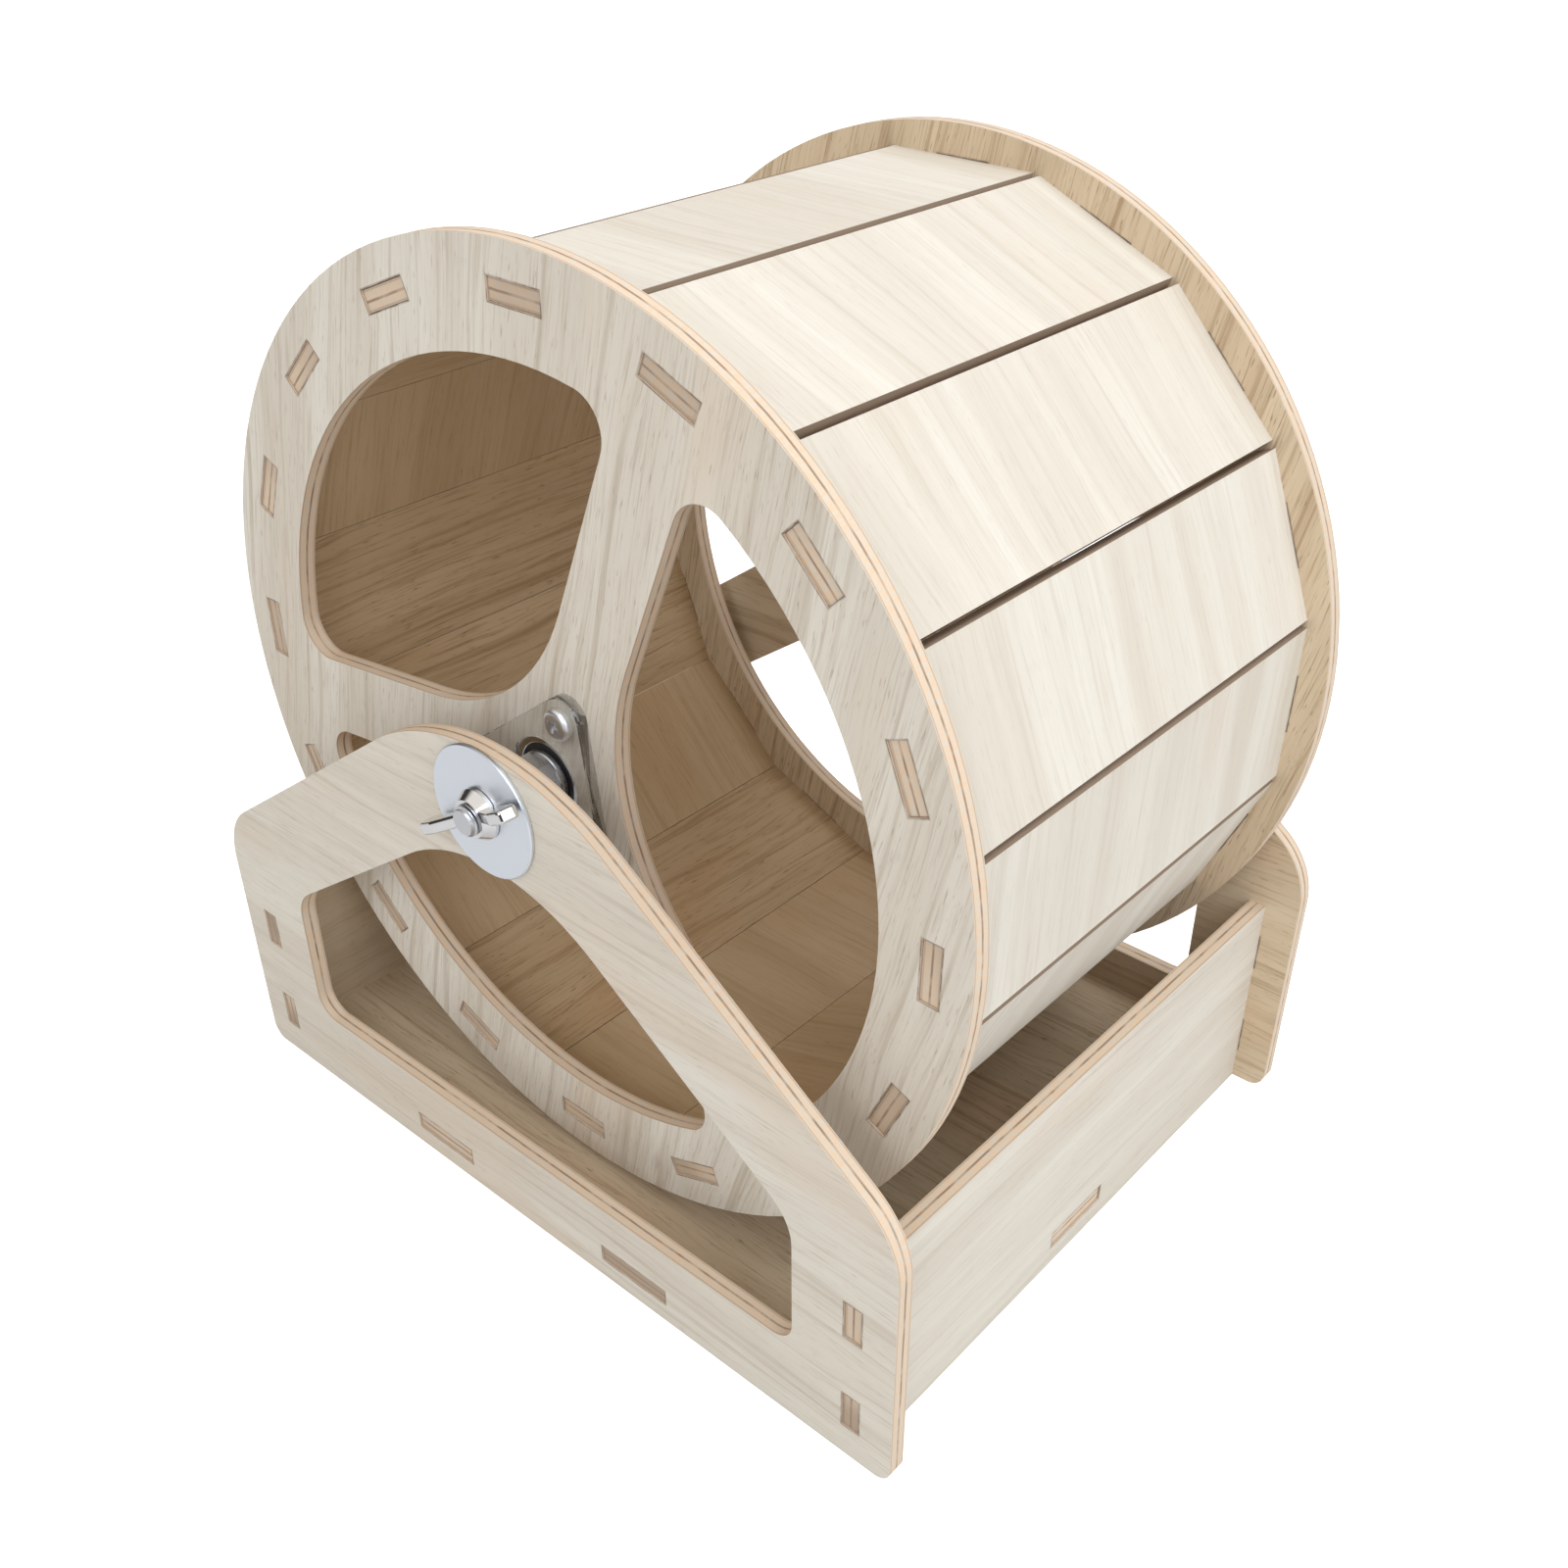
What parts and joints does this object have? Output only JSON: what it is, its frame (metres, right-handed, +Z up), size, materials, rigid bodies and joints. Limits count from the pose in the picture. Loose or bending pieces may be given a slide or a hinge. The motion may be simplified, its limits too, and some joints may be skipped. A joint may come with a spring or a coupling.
{
  "type": "rodent exercise wheel",
  "caption": "Plywood running drum between spoked discs, turning on ball bearings in a stand of two house-shaped frames with wing nuts.",
  "frame": {"origin": "on the ground under the middle of the stand", "axes": "+Z up, +Y along the axle from the near frame to the far frame, +X to the right"},
  "size_m": [0.252, 0.2058, 0.2643],
  "materials": {
    "plywood": "bare, fine sanded, pale grey-beige face",
    "clear_plastic": "clear, polished",
    "zinc_screws": "bright zinc plate",
    "zinc_steel": "bright zinc plate",
    "zinc_washer": "bright zinc plate, blue-white",
    "bright_nickel": "polished nickel plate",
    "bearing_steel": "ground",
    "cage_steel": "pressed",
    "black_rubber": "matt"
  },
  "bodies": {
    "stand": {"front_frame": "plywood", "rear_frame": "plywood", "left_end_panel": "plywood", "right_end_panel": "plywood", "floor_panel": "plywood", "front_bearing_inner_ring": "bearing_steel", "front_axle_bolt": "zinc_steel", "front_bolt_washer": "zinc_steel", "front_fender_washer": "zinc_washer", "rear_bearing_inner_ring": "bearing_steel", "rear_axle_bolt": "zinc_steel", "rear_bolt_washer": "zinc_steel", "rear_fender_washer": "zinc_washer", "front_bearing_washer": "zinc_steel", "front_bearing_nut": "zinc_steel", "front_lock_nut": "zinc_steel", "front_lock_washer": "zinc_steel", "rear_spacer": "zinc_steel"},
    "wheel": {"front_disc": "plywood", "rear_disc": "plywood", "slat_01": "plywood", "slat_02": "plywood", "slat_03": "plywood", "slat_04": "plywood", "slat_05": "plywood", "slat_06": "plywood", "slat_07": "plywood", "slat_08": "plywood", "slat_09": "plywood", "slat_10": "plywood", "slat_11": "plywood", "slat_12": "plywood", "slat_13": "plywood", "slat_14": "plywood", "slat_15": "plywood", "slat_16": "plywood", "front_bearing_plate": "clear_plastic", "front_plate_screws": "zinc_screws", "front_bearing_outer_ring": "bearing_steel", "front_bearing_seals": "black_rubber", "rear_bearing_plate": "clear_plastic", "rear_plate_screws": "zinc_screws", "rear_bearing_outer_ring": "bearing_steel", "rear_bearing_seals": "black_rubber"},
    "front_balls": {"front_bearing_balls": "bearing_steel", "front_bearing_cage": "cage_steel"},
    "front_wing_nut_body": {"front_wing_nut": "bright_nickel"},
    "rear_balls": {"rear_bearing_balls": "bearing_steel", "rear_bearing_cage": "cage_steel"},
    "rear_wing_nut_body": {"rear_wing_nut": "bright_nickel"}
  },
  "joints": [
    {"name": "wheel_spin", "type": "hinge", "parent": "stand", "child": "wheel", "pos_m": [0, 0.005, 0.1393], "axis": [0, 1, 0], "continuous": true},
    {"name": "front_balls_orbit", "type": "hinge", "parent": "stand", "child": "front_balls", "pos_m": [0, -0.072, 0.1393], "axis": [0, 1, 0], "continuous": true},
    {"name": "rear_balls_orbit", "type": "hinge", "parent": "stand", "child": "rear_balls", "pos_m": [0, 0.082, 0.1393], "axis": [0, 1, 0], "continuous": true},
    {"name": "front_wing_nut_turn", "type": "hinge", "parent": "stand", "child": "front_wing_nut_body", "pos_m": [0, -0.099, 0.1393], "axis": [0, -1, 0], "range_deg": [0, 180]},
    {"name": "rear_wing_nut_turn", "type": "hinge", "parent": "stand", "child": "rear_wing_nut_body", "pos_m": [0, 0.099, 0.1393], "axis": [0, 1, 0], "range_deg": [0, 180]}
  ],
  "couplings": [
    {"joint": "front_balls_orbit", "follows": "wheel_spin", "ratio": 0.6323},
    {"joint": "rear_balls_orbit", "follows": "wheel_spin", "ratio": 0.6323}
  ]
}
